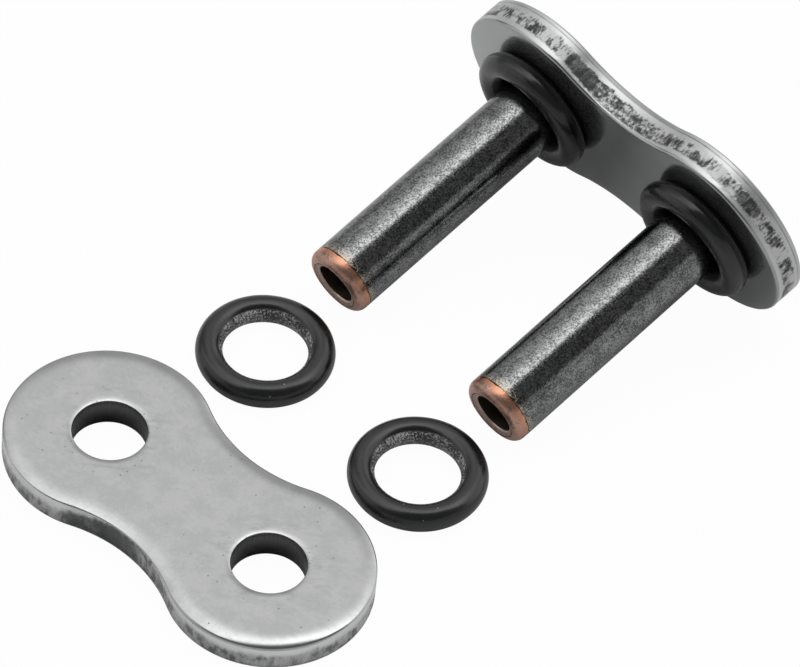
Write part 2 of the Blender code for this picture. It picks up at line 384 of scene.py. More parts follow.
    def soil_over(
        self, tree: Tree, place: Socket, colour: Node, rubbed: Node, fray: Node, speck: Node
    ) -> Node:
        """Lays the smears over the edge, thinner on the rubbed bands.

        Args:
            tree: The material's node tree.
            place: The point on the piece.
            colour: The clean edge.
            rubbed: Share of the rubbed bands.
            fray: How unevenly the smears end.
            speck: Fine grain that breaks them up.

        Returns:
            The soiled edge's colour.
        """
        hold = add(tree, "MapRange", {0: rubbed, 3: 1.0, 4: self.soil_on_rubbed})
        least, growth = self.soil_speck
        grimy = add(tree, "Math", {0: speck, 1: growth, 2: least}, operation="MULTIPLY_ADD", use_clamp=True)
        for spot in self.soiled:
            away = add(tree, "VectorMath", {0: place, 1: spot.middle}, operation="DISTANCE")
            ragged = add(tree, "Math", {0: fray, 1: self.soil_fray, 2: away}, operation="MULTIPLY_ADD")
            ends = {0: ragged, 1: spot.reach * spot.core, 2: spot.reach, 3: spot.cover, 4: 0.0}
            smear = add(tree, "MapRange", ends, **SMOOTH)
            held = add(tree, "Math", {0: smear, 1: hold}, operation="MULTIPLY")
            share = add(tree, "Math", {0: held, 1: grimy}, operation="MULTIPLY")
            colour = add(tree, "Mix", {0: share, 6: colour, 7: self.soil}, data_type="RGBA")
        return colour

    def paint_roll_shade(self, tree: Tree, height: Socket, colour: Node, waist: Node, cluster: Node) -> Node:
        """Lays painted shade: a grey band under the rolled corner for its dim reflection, and a broken dark
        line of painted crease shade where it starts.

        Args:
            tree: The material's node tree.
            height: Height above the inner face.
            colour: The edge below it.
            waist: Share of the waist.
            cluster: Patches that break the line.

        Returns:
            The whole edge's colour.
        """
        # painted shade: the grey band stands for the roll's dim reflection
        dull = add(tree, "MapRange", {0: height, 1: self.roll_shade_mm, 2: self.roll_shade_mm + self.roll_shade_edge_mm})
        strong = add(tree, "MapRange", {0: waist, TO: self.roll_shade_share})
        share = add(tree, "Math", {0: dull, 1: strong}, operation="MULTIPLY")
        colour = add(tree, "Mix", {0: share, 6: colour, 7: self.rolled}, data_type="RGBA")
        # painted shade: a dark line where the wall meets the roll
        from_line = add(tree, "Math", {0: height, 1: self.roll_shade_mm}, operation="SUBTRACT")
        off_line = add(tree, "Math", {0: from_line}, operation="ABSOLUTE")
        thin = add(tree, "MapRange", {0: off_line, FROM: self.roll_crease_shade_mm, TO: FALL})
        broken = add(tree, "Math", {0: thin, 1: cluster}, operation="MULTIPLY")
        return add(tree, "Mix", {0: broken, 6: colour, 7: self.roll_crease_shade}, data_type="RGBA")


@dataclass(frozen=True)
class PiercedHole(Finish):
    """Pierced and reamed hole wall: dark oiled steel with faint lines along the hole, and painted shade that
    deepens towards the inner face.
    """

    name: str = "pierced_carbon_steel_hole"
    light: str = "#7b7b7a"
    dark: str = "#585857"
    # painted shade deep in the hole
    deep: str = "#212121"
    line_mm: Point = (0.16, 2.5)
    shade_mm: Point = (0.2, 2.2)  # painted shade: the wall darkens towards the inner face
    roughness: Point = (0.3, 0.42)

    def paint(self, tree: Tree, shader: Node, place: Socket) -> None:
        """Lays drag lines along the hole (see Finish.paint)."""
        wide, tall = self.line_mm
        drawn = add(tree, "VectorMath", {0: place, 1: (1 / wide, 1 / wide, 1 / tall)}, operation="MULTIPLY")
        lines = add(tree, "TexNoise", {"Vector": drawn, "Scale": 1.0, "Detail": 3.0})
        wall = add(tree, "Mix", {0: lines, 6: self.dark, 7: self.light}, data_type="RGBA")
        height = add(tree, "SeparateXYZ", {0: place})
        # painted shade towards the inner face
        shade = add(tree, "MapRange", {0: height.outputs[2], FROM: self.shade_mm})
        colour = add(tree, "Mix", {0: shade, 6: self.deep, 7: wall}, data_type="RGBA")
        rough = add(tree, "MapRange", {0: lines, FROM: NOISE_SPAN, TO: self.roughness})
        feed(tree, shader, {"Metallic": 1.0, "Base Color": colour, "Roughness": rough})


@dataclass(frozen=True)
class TumbledPin(Finish):
    """Hardened alloy steel, tumbled: gunmetal with a salt-and-pepper speckle that glitters."""

    name: str = "tumbled_hardened_alloy_steel"
    dark: str = "#4a4b4b"
    light: str = "#979898"
    tarnish: str = "#bcb0a0"
    speck_mm: float = 0.14  # the tumbling marks are finer; drawn this coarse to show
    patch_mm: float = 0.9
    patch_weight: float = 0.3  # strength of the patches over the speckle
    tone_span: Point = (0.5, 0.82)  # pattern where the steel is darkest and lightest
    relief_mm: float = 0.006
    swell: float = 2.6  # height of the wide dents over that of the speckle
    roughness: Point = (0.09, 0.18)
    tarnish_mm: Point = (18.9, 19.7)  # height where it starts and is full
    tarnish_span: Point = (0.5, 0.85)  # pattern where it starts and is full
    tarnish_roughness: float = 0.3

    def paint(self, tree: Tree, shader: Node, place: Socket) -> None:
        """Lays speckle, larger patches and the tarnish beside the plating (see Finish.paint)."""
        sharp = {"Vector": place, "Scale": 1 / self.speck_mm, "Detail": 3.0, "Roughness": 0.7}
        speck = add(tree, "TexNoise", sharp)
        patch = add(tree, "TexNoise", {"Vector": place, "Scale": 1 / self.patch_mm, "Detail": 4.0})
        both = add(tree, "Math", {0: patch, 1: self.patch_weight, 2: speck}, operation="MULTIPLY_ADD")
        tone = add(tree, "MapRange", {0: both, FROM: self.tone_span}, **SMOOTH)
        steel = add(tree, "Mix", {0: tone, 6: self.dark, 7: self.light}, data_type="RGBA")
        height = add(tree, "SeparateXYZ", {0: place})
        near = add(tree, "MapRange", {0: height.outputs[2], FROM: self.tarnish_mm}, **SMOOTH)
        fleck = add(tree, "MapRange", {0: both, FROM: self.tarnish_span}, **SMOOTH)
        stain = add(tree, "Math", {0: near, 1: fleck}, operation="MULTIPLY")
        colour = add(tree, "Mix", {0: stain, 6: steel, 7: self.tarnish}, data_type="RGBA")
        bright = add(tree, "MapRange", {0: speck, FROM: NOISE_SPAN, TO: self.roughness})
        rough = add(tree, "Math", {0: stain, 1: self.tarnish_roughness, 2: bright}, operation="MULTIPLY_ADD")
        dents = add(tree, "Math", {0: patch, 1: self.swell, 2: speck}, operation="MULTIPLY_ADD")
        bump = add(tree, "Bump", {"Height": dents, "Distance": self.relief_mm * MM, "Strength": 0.9})
        feed(tree, shader, {"Metallic": 1.0, "Base Color": colour, "Roughness": rough, "Normal": bump})


@dataclass(frozen=True)
class CopperEnd(Finish):
    """Copper flash on the rounded end: orange at its dark border, pink and brown where it has worn."""

    name: str = "copper_plated_alloy_steel"
    stripe: str = "#c98e6f"
    copper: str = "#b98b77"
    pink: str = "#b89c90"
    stain: str = "#7c5646"
    line: str = "#3b2418"
    speck_mm: float = 0.13
    patch_mm: float = 0.5
    pink_span: Point = (0.4, 0.6)  # noise where the copper turns pink
    speck_weight: float = 0.8  # strength of the specks over the patches
    stain_span: Point = (0.85, 1.15)  # pattern where a brown stain starts and is full
    stain_most: float = 0.7
    line_mm: Point = (19.77, 19.87)  # height where the dark line starts to fade and is gone
    stripe_end_mm: Point = (19.95, 20.3)  # height where the stripe starts to wear and is worn
    fray_mm: float = 0.3  # how unevenly they end
    roughness: Point = (0.26, 0.34)  # fresh and worn
    relief_mm: float = 0.02

    def paint(self, tree: Tree, shader: Node, place: Socket) -> None:
        """Lays the dark line, the stripe and the worn round along the pin (see Finish.paint)."""
        height = add(tree, "SeparateXYZ", {0: place})
        speck = add(tree, "TexNoise", {"Vector": place, "Scale": 1 / self.speck_mm, "Detail": 3.0})
        patch = add(tree, "TexNoise", {"Vector": place, "Scale": 1 / self.patch_mm, "Detail": 3.0})
        shifted = {0: patch, 1: self.fray_mm, 2: height.outputs[2]}
        frayed = add(tree, "Math", shifted, operation="MULTIPLY_ADD")
        start, stop = self.stripe_end_mm
        fray = self.fray_mm / 2
        worn = add(tree, "MapRange", {0: frayed, 1: start + fray, 2: stop + fray}, **SMOOTH)
        blotch = add(tree, "MapRange", {0: patch, FROM: self.pink_span}, **SMOOTH)
        plain = add(tree, "Mix", {0: blotch, 6: self.copper, 7: self.pink}, data_type="RGBA")
        both = add(tree, "Math", {0: speck, 1: self.speck_weight, 2: patch}, operation="MULTIPLY_ADD")
        spots = add(tree, "MapRange", {0: both, FROM: self.stain_span, 4: self.stain_most}, **SMOOTH)
        brown = add(tree, "Mix", {0: spots, 6: plain, 7: self.stain}, data_type="RGBA")
        lit = add(tree, "Mix", {0: worn, 6: self.stripe, 7: brown}, data_type="RGBA")
        first, last = self.line_mm
        edge = add(tree, "MapRange", {0: frayed, 1: first + fray, 2: last + fray, TO: FALL}, **SMOOTH)
        colour = add(tree, "Mix", {0: edge, 6: lit, 7: self.line}, data_type="RGBA")
        rough = add(tree, "MapRange", {0: worn, TO: self.roughness})
        bump = add(tree, "Bump", {"Height": both, "Distance": self.relief_mm * MM, "Strength": 0.7})
        feed(tree, shader, {"Metallic": 1.0, "Base Color": colour, "Roughness": rough, "Normal": bump})


@dataclass(frozen=True)
class FacedEnd(Finish):
    """Faced end of the pin under thin copper: dull pinkish grey, with painted shade along the crease at its
    outer edge and a painted highlight on the hole's edge.
    """

    name: str = "faced_alloy_steel_end"
    light: str = "#c9b3a8"
    dark: str = "#978279"
    # painted shade in the crease around the end face
    line: str = "#553f37"
    # painted highlight on the hole's edge
    rim: str = "#cdb8ac"
    speck_mm: float = 0.18
    speck_span: Point = (0.35, 0.7)  # noise where the face is darkest and lightest
    line_mm: Point = (1.9, 1.94)  # radius where the painted crease shade starts and is full
    fray_mm: float = 0.12  # how unevenly it starts
    roughness: Point = (0.36, 0.55)
    hole_highlight_mm: Point = (1.72, 1.66)  # painted highlight: the edge of the hole is painted bright
    relief_mm: float = 0.02

    def paint(self, tree: Tree, shader: Node, place: Socket) -> None:
        """Lays speckle, the painted crease shade at the outer edge and the painted highlight at the hole (see
        Finish.paint).
        """
        sharp = {"Vector": place, "Scale": 1 / self.speck_mm, "Detail": 4.0, "Roughness": 0.65}
        speck = add(tree, "TexNoise", sharp)
        tone = add(tree, "MapRange", {0: speck, FROM: self.speck_span}, **SMOOTH)
        face = add(tree, "Mix", {0: tone, 6: self.dark, 7: self.light}, data_type="RGBA")
        flat = add(tree, "VectorMath", {0: place, 1: (1.0, 1.0, 0.0)}, operation="MULTIPLY")
        radius = add(tree, "VectorMath", {0: flat}, operation="LENGTH")
        first, last = self.line_mm
        frayed = add(tree, "Math", {0: speck, 1: self.fray_mm, 2: radius}, operation="MULTIPLY_ADD")
        fray = self.fray_mm / 2
        edge = add(tree, "MapRange", {0: frayed, 1: first + fray, 2: last + fray}, **SMOOTH)
        # painted crease shade
        lined = add(tree, "Mix", {0: edge, 6: face, 7: self.line}, data_type="RGBA")
        # painted highlight on the hole's edge
        rubbed = add(tree, "MapRange", {0: radius, FROM: self.hole_highlight_mm}, **SMOOTH)
        colour = add(tree, "Mix", {0: rubbed, 6: lined, 7: self.rim}, data_type="RGBA")
        rough = add(tree, "MapRange", {0: speck, FROM: NOISE_SPAN, TO: self.roughness})
        bump = add(tree, "Bump", {"Height": speck, "Distance": self.relief_mm * MM, "Strength": 0.5})
        feed(tree, shader, {"Metallic": 1.0, "Base Color": colour, "Roughness": rough, "Normal": bump})


@dataclass(frozen=True)
class DrilledHole(Finish):
    """Drilled blind hole: oiled steel with a brown tint and drill rings, painted nearly black as painted
    shade deep in the hole.
    """

    name: str = "drilled_alloy_steel_hole"
    # both tones are near black: painted shade of the deep hole over the oiled steel's own tone
    light: str = "#4a3f36"
    dark: str = "#1d1813"
    ring_mm: float = 0.25
    around: float = 0.3  # how quickly a ring changes around the hole, per millimetre
    bare: float = 0.8  # share of bare metal; the rest is oil
    roughness: Point = (0.4, 0.6)

    def paint(self, tree: Tree, shader: Node, place: Socket) -> None:
        """Lays rings around the hole (see Finish.paint)."""
        drawn = (self.around, self.around, 1 / self.ring_mm)
        rings = add(tree, "VectorMath", {0: place, 1: drawn}, operation="MULTIPLY")
        drill = add(tree, "TexNoise", {"Vector": rings, "Scale": 1.0, "Detail": 3.0})
        colour = add(tree, "Mix", {0: drill, 6: self.dark, 7: self.light}, data_type="RGBA")
        rough = add(tree, "MapRange", {0: drill, FROM: NOISE_SPAN, TO: self.roughness})
        feed(tree, shader, {"Metallic": self.bare, "Base Color": colour, "Roughness": rough})


@dataclass(frozen=True)
class NitrileRubber(Finish):
    """Moulded nitrile rubber: black with a soft sheen, a few dust specks and a rough bore, painted grey
    partly for its own speckled grain and partly as painted light from the bench.
    """

    name: str = "moulded_nitrile_rubber"
    skin: str = "#131414"
    skin_light: str = "#1c1d1d"
    bore_dark: str = "#232323"
    # partly the rough bore's own speckled grey, partly painted light from the bench
    bore_light: str = "#d0d1d0"
    dust: str = "#a8a8a6"
    cloud_mm: float = 1.6
    speck_mm: float = 0.12
    dust_spacing_mm: float = 0.9
    dust_mm: float = 0.05
    dust_share: float = 0.06
    dust_core: float = 0.5  # share of a speck's radius that is solid
    bore_mm: Point = (3.36, 3.48)  # radius where the rough bore ends
    bore_fray_mm: float = 0.22  # how unevenly it ends
    bore_span: Point = (0.71, 0.93)  # pattern where the bore is darkest and lightest
    bore_cloud: float = 0.5  # strength of the clouds over the bore's grain
    bench_light_mm: Point = (0.6, -0.4)  # painted light from the bench: height where the bore starts to lighten towards it
    painted_bench_light: float = 0.15  # how much lighter that painted light makes it
    bore_roughness: float = 0.75
    roughness: Point = (0.15, 0.29)
    relief_mm: float = 0.05
    ripple: float = 0.7  # height of the mould's ripple over that of the bore's grain
    skin_grain: float = 0.04  # height of the skin's grain over that of the bore's

    def paint(self, tree: Tree, shader: Node, place: Socket) -> None:
        """Lays the skin, the dust and the rough bore (see Finish.paint)."""
        cloud = add(tree, "TexNoise", {"Vector": place, "Scale": 1 / self.cloud_mm, "Detail": 5.0})
        sharp = {"Vector": place, "Scale": 1 / self.speck_mm, "Detail": 3.0, "Roughness": 0.7}
        speck = add(tree, "TexNoise", sharp)
        black = add(tree, "Mix", {0: cloud, 6: self.skin, 7: self.skin_light}, data_type="RGBA")
        cells = add(tree, "TexVoronoi", {"Vector": place, "Scale": 1 / self.dust_spacing_mm})
        picked = add(tree, "SeparateColor", {0: cells.outputs["Color"]})
        chosen = add(tree, "Math", {0: picked.outputs[0], 1: self.dust_share}, operation="LESS_THAN")
        reach = self.dust_mm / self.dust_spacing_mm
        ends = {0: cells.outputs["Distance"], 1: reach * self.dust_core, 2: reach, TO: FALL}
        grain = add(tree, "MapRange", ends)
        dust = add(tree, "Math", {0: grain, 1: chosen}, operation="MULTIPLY")
        dusty = add(tree, "Mix", {0: dust, 6: black, 7: self.dust}, data_type="RGBA")
        flat = add(tree, "VectorMath", {0: place, 1: (1.0, 1.0, 0.0)}, operation="MULTIPLY")
        radius = add(tree, "VectorMath", {0: flat}, operation="LENGTH")
        frayed = add(tree, "Math", {0: speck, 1: self.bore_fray_mm, 2: radius}, operation="MULTIPLY_ADD")
        bore = add(tree, "MapRange", {0: frayed, FROM: self.bore_mm, TO: FALL}, **SMOOTH)
        height = add(tree, "SeparateXYZ", {0: place})
        # painted light: the bore lightens towards the bench
        lower = add(tree, "MapRange", {0: height.outputs[2], FROM: self.bench_light_mm, 4: self.painted_bench_light})
        uneven = add(tree, "Math", {0: cloud, 1: self.bore_cloud, 2: speck}, operation="MULTIPLY_ADD")
        fleck = add(tree, "MapRange", {0: uneven, FROM: self.bore_span}, **SMOOTH)
        tone = add(tree, "Math", {0: fleck, 1: lower}, operation="ADD", use_clamp=True)
        ground = add(tree, "Mix", {0: tone, 6: self.bore_dark, 7: self.bore_light}, data_type="RGBA")
        colour = add(tree, "Mix", {0: bore, 6: dusty, 7: ground}, data_type="RGBA")
        sheen = add(tree, "MapRange", {0: cloud, FROM: NOISE_SPAN, TO: self.roughness})
        rough = add(tree, "Mix", {0: bore, 2: sheen, 3: self.bore_roughness}, data_type="FLOAT")
        deep = add(tree, "MapRange", {0: bore, 3: self.skin_grain, 4: 1.0})
        fine = add(tree, "Math", {0: speck, 1: deep}, operation="MULTIPLY")
        relief = add(tree, "Math", {0: cloud, 1: self.ripple, 2: fine}, operation="MULTIPLY_ADD")
        bump = add(tree, "Bump", {"Height": relief, "Distance": self.relief_mm * MM, "Strength": 0.8})
        feed(tree, shader, {"Base Color": colour, "Roughness": rough, "Normal": bump})


def skin(bm: bmesh.types.BMesh, rows: Sequence[Sequence[Vector]], closed: bool, slots: Sequence[int]) -> None:
    """Lays quads between neighbouring rows of points.

    Args:
        bm: Mesh to add to.
        rows: Rows with the same number of points.
        closed: Whether each row joins back to its first point.
        slots: Material slot of each strip, one fewer than the rows.
    """
    laid = [[bm.verts.new(point) for point in row] for row in rows]
    for low, high, slot in zip(laid, laid[1:], slots):
        for i in range(len(low) if closed else len(low) - 1):
            j = (i + 1) % len(low)
            face = bm.faces.new((low[i], low[j], high[j], high[i]))
            face.material_index = slot


def arc(centre: Point, radius: float, start: float, end: float, steps: int) -> list[Point]:
    """Points along an arc, both ends included.

    Args:
        centre: Middle of the arc.
        radius: Its radius.
        start: First angle in radians.
        end: Last angle in radians.
        steps: Number of steps between them.

    Returns:
        The points.
    """
    angles = [start + (end - start) * step / steps for step in range(steps + 1)]
    return [(centre[0] + radius * math.cos(a), centre[1] + radius * math.sin(a)) for a in angles]


def span(node: str, axis: Vector) -> Point:
    """Where a CAD node starts and ends along an axis.

    Args:
        node: Name of the CAD node.
        axis: Unit direction.

    Returns:
        Lowest and highest place along the axis, in metres.
    """
    places = [axis.dot(vert.co) for vert in frame["nodes"][node].data.vertices]
    return (min(places), max(places))


def middle(node: str, axes: Iterable[Vector]) -> Vector:
    """Middle of a CAD node's extent along three square axes.

    Args:
        node: Name of the CAD node.
        axes: Three unit directions at right angles.

    Returns:
        The middle point in the row frame.
    """
    return sum((axis * (sum(span(node, axis)) / 2) for axis in axes), Vector())


class Shape(Protocol):
    """A piece's mesh in its own axes, and its finishes by material slot."""

    finishes: tuple[Finish, ...]

    def build(self) -> bmesh.types.BMesh:
        """Makes the mesh."""


def show(name: str, data: bpy.types.ID) -> bpy.types.Object:
    """Puts a mesh or a camera in the scene as a named object."""
    made = bpy.data.objects.new(name, data)
    bpy.context.scene.collection.objects.link(made)
    return made


def place_piece(name: str, shape: Shape, place: Matrix, node: str, body: str) -> None:
    """Makes a smooth piece in the place of a CAD node and lets it ride on the node's body.

    Args:
        name: Name of the piece.
        shape: Its mesh and finishes.
        place: The piece's place in the row frame.
        node: CAD node that it stands for.
        body: CAD body that carries it.
    """
    bm = shape.build()
    bmesh.ops.remove_doubles(bm, verts=bm.verts, dist=WELD)
    bmesh.ops.recalc_face_normals(bm, faces=bm.faces)
    mesh = bpy.data.meshes.new(name)
    bm.to_mesh(mesh)
    bm.free()
    for finish in shape.finishes:
        mesh.materials.append(finish.material())
    own = mesh.attributes.new(OWN_PLACE, "FLOAT_VECTOR", "POINT")
    for item, vert in zip(own.data, mesh.vertices):
        item.vector = vert.co / MM
    mesh.transform(place)
    mesh.shade_smooth()
    mesh.set_sharp_from_angle(angle=SHARP_ANGLE)
    made = show(name, mesh)
    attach(made, body)
    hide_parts(node)
    LOG.info("%s: %d faces on %s", name, len(mesh.polygons), body)


class PlateSlot(IntEnum):
    """Material slots of a link plate."""

    OUTER = 0
    EDGE = 1
    HOLE = 2
    INNER = 3


@dataclass
class LinkPlate:
    """Waisted link plate: die-rolled outer face, torn and rubbed edge, two pierced holes."""

    finishes: tuple[Finish, ...]
    pitch: float = 15.875 * MM
    thickness: float = 2.35 * MM
    height: float = 14.748 * MM  # two microns less than the CAD plate
    waist_relief: float = 1.82 * MM
    lobe_step: float = 0.09 * MM
    roll_width: float = 1.35 * MM
    roll_depth: float = 0.278 * MM
    roll_power: float = 2.8
    corner: float = 0.27 * MM
    corner_from: float = math.radians(25)  # slope of the corner where it meets the roll
    corner_to: float = math.radians(90)  # slope where it leaves the wall
    corner_lip: float = 0.04 * MM  # last strip of the wall under the corner
    least_roll: float = 0.5  # share of the roll's depth away from the lobe where the punch bit deepest
    deep_from: Point = (3.0 * MM, 1.0 * MM)  # where the roll starts to deepen towards that lobe
    deep_over: float = 5.0 * MM  # how far it takes
    inner_round: float = 0.2 * MM
    torn_height: float = 1.25 * MM
    torn_recess: float = 0.012 * MM
    torn_relief: float = 0.022 * MM
    torn_grain: Point = (0.5 * MM, 0.8 * MM)  # size along the edge and up it
    hole_radius: float = 2.66 * MM
    hole_roll: float = 0.5 * MM
    hole_roll_depth: float = 0.08 * MM
    lobe_steps: int = 186
    waist_steps: int = 30
    middle_steps: int = 28
    inner_steps: int = 6
    torn_steps: int = 12
    corner_steps: int = 9
    roll_steps: int = 14
    face_steps: int = 5
    hole_steps: int = 7
    seed: float = 0.0

    def outline(self, inset: float) -> list[Point]:
        """Right half of the outline, from the lower waist round to the upper waist.

        Args:
            inset: How far it is drawn in.

        Returns:
            The points.
        """
        lobe = self.height / 2
        reach = self.pitch / 2 + self.lobe_step
        waist = lobe - self.waist_relief
        waist_radius = (reach**2 + waist**2 - lobe**2) / (2 * self.waist_relief)
        rise = waist + waist_radius
        lean = math.atan2(reach, rise)
        tangent = math.pi / 2 + lean
        flank = arc((0.0, -rise), waist_radius + inset, math.pi / 2, math.pi / 2 - lean, self.waist_steps)
        lobe_arc = arc((reach, 0.0), lobe - inset, -tangent, tangent, self.lobe_steps)
        upper = [(x, -y) for x, y in reversed(flank)]
        return flank + lobe_arc[1:-1] + upper

    def shoulder(self) -> list[Point]:
        """Round corner and rolled shoulder, from the wall to the flat face.

        Returns:
            Inset and drop below the face of each point, where the roll is deepest.
        """
        width = self.corner * (math.sin(self.corner_to) - math.sin(self.corner_from))
        share = (self.roll_width - width) / self.roll_width
        lip = self.roll_depth * share**self.roll_power
        pairs = []
        for step in range(self.corner_steps):
            angle = self.corner_to + (self.corner_from - self.corner_to) * step / self.corner_steps
            drop = lip + self.corner * (math.cos(self.corner_from) - math.cos(angle))
            pairs.append((self.corner * (math.sin(self.corner_to) - math.sin(angle)), drop))
        for step in range(self.roll_steps + 1):
            left = share * (1 - step / self.roll_steps)
            pairs.append((self.roll_width * (1 - left), self.roll_depth * left**self.roll_power))
        return pairs

    def profile(self) -> list[tuple[float, float, float, float, PlateSlot]]:
        """Section of the edge, from the inner face to the outer face.

        Returns:
            Inset, height, drop below it, share of torn relief and slot of the strip above each point.
        """
        rows = []
        centre = (self.inner_round, self.inner_round)
        for inset, up in arc(centre, self.inner_round, -math.pi / 2, -math.pi, self.inner_steps):
            rows.append((inset + self.torn_recess, up, 0.0, 0.0, PlateSlot.INNER))
        rows[-1] = (*rows[-1][:4], PlateSlot.EDGE)
        for step in range(1, self.torn_steps + 1):
            share = step / self.torn_steps
            up = self.inner_round + (self.torn_height - self.inner_round) * share
            torn = math.sin(math.pi * share)
            rows.append((self.torn_recess * (1 - share), up, 0.0, torn, PlateSlot.EDGE))
        shoulder = self.shoulder()
        rows.append((0.0, (self.torn_height + self.thickness) / 2, shoulder[0][1] / 2, 0.0, PlateSlot.EDGE))
        rows.append((0.0, self.thickness, shoulder[0][1] + self.corner_lip, 0.0, PlateSlot.EDGE))
        rows.extend((inset, self.thickness, drop, 0.0, PlateSlot.OUTER) for inset, drop in shoulder)
        return rows

    def roll_share(self, point: Point) -> float:
        """Share of the roll's depth at a point of the outline: the punch bit deepest at one lobe."""
        along = min(1.0, max(0.0, (point[0] - self.deep_from[0]) / self.deep_over))
        across = min(1.0, max(0.0, (self.deep_from[1] - point[1]) / self.deep_over))
        deep = along * along * (3 - 2 * along) * across * across * (3 - 2 * across)
        return self.least_roll + (1 - self.least_roll) * deep

    def torn(self, point: Point, up: float) -> float:
        """Depth of the torn band's relief at a point of the edge, from 0 to 1."""
        long, tall = self.torn_grain
        place = Vector((point[0] / long, point[1] / long, up / tall + self.seed))
        return min(1.0, max(0.0, 0.5 + noise.fractal(place, 1.0, 2.0, 3)))

    def edge_rows(self, side: Side) -> tuple[list[list[Vector]], list[int]]:
        """Rows of the right half's cut edge, with the torn band's relief.

        Args:
            side: Half of the plate that they are for; the left half is turned round later.

        Returns:
            The rows and the slot of each strip.
        """
        rows, slots = [], []
        shares = [self.roll_share((side * x, side * y)) for x, y in self.outline(0.0)]
        for inset, up, drop, share, slot in self.profile():
            bare = self.outline(inset)
            if share > 0.0:
                deep = self.outline(inset + self.torn_relief * share)
                line = []
                for point, sunk in zip(bare, deep):
                    mixed = self.torn((side * point[0], side * point[1]), up)
                    line.append(Vector((*point, up)).lerp(Vector((*sunk, up)), mixed))
                line[0].x = 0.0
                line[-1].x = 0.0
            else:
                line = [Vector((*point, up - drop * rolled)) for point, rolled in zip(bare, shares)]
            rows.append(line)
            slots.append(slot)
        return rows, slots[:-1]

    def face_rows(self, rim: Sequence[Vector], radii: Sequence[Point]) -> list[list[Vector]]:
        """Closed rows from half a face's rim and the plate's middle line in to its hole.

        Args:
            rim: The edge's last row on this face.
            radii: Radius and height of each row around the hole, from the face inwards.

        Returns:
            The rows.
        """
        top, bottom = rim[-1], rim[0]
        count = self.middle_steps
        loop = list(rim) + [top.lerp(bottom, step / count) for step in range(1, count)]
        centre = Vector((self.pitch / 2, 0.0, top.z))
        rays = [(point - centre).normalized() for point in loop]
        rows = []
        for radius, up in radii:
            hub = Vector((centre.x, centre.y, up))
            rows.append([hub + ray * radius for ray in rays])
        shares = [step / self.face_steps for step in range(1, self.face_steps)]
        between = [[a.lerp(b, share) for a, b in zip(loop, rows[0])] for share in shares]
        return [loop] + between + rows

    def hole_edge(self, up: float, inwards: float) -> list[Point]:
        """Rolled edge of a hole, as radius and height pairs.

        Args:
            up: Height of the face.
            inwards: Sign of the way into the plate along the hole.

        Returns:
            Pairs from the face to the hole's wall.
        """
        pairs = []
        for step in range(self.hole_steps + 1):
            angle = math.pi / 2 * step / self.hole_steps
            radius = self.hole_radius + self.hole_roll * (1 - math.sin(angle))
            pairs.append((radius, up + inwards * self.hole_roll_depth * (1 - math.cos(angle))))
        return pairs

    def half(self, bm: bmesh.types.BMesh, side: Side) -> None:
        """Builds one half of the plate as the right half.

        Args:
            bm: Mesh to add to.
            side: Which half it is.
        """
        rows, slots = self.edge_rows(side)
        skin(bm, rows, False, slots)
        top = self.face_rows(rows[-1], self.hole_edge(self.thickness, -1.0))
        skin(bm, top, True, [PlateSlot.OUTER] * (len(top) - 1))
        under = self.face_rows(rows[0], self.hole_edge(0.0, 1.0))
        skin(bm, under, True, [PlateSlot.INNER] * (len(under) - 1))
        skin(bm, [top[-1], under[-1]], True, [PlateSlot.HOLE])

    def build(self) -> bmesh.types.BMesh:
        """Builds the whole plate: the left half turned round, and the right half.

        Returns:
            The mesh, with the inner face at height 0.
        """
        bm = bmesh.new()
        self.half(bm, Side.LEFT)
        bmesh.ops.rotate(bm, verts=bm.verts, cent=(0.0, 0.0, 0.0), matrix=Matrix.Rotation(math.pi, 3, "Z"))
        self.half(bm, Side.RIGHT)
        return bm


class PinSlot(IntEnum):
    """Material slots of a rivet pin."""

    SHANK = 0
    COPPER = 1
    FACE = 2
    HOLE = 3


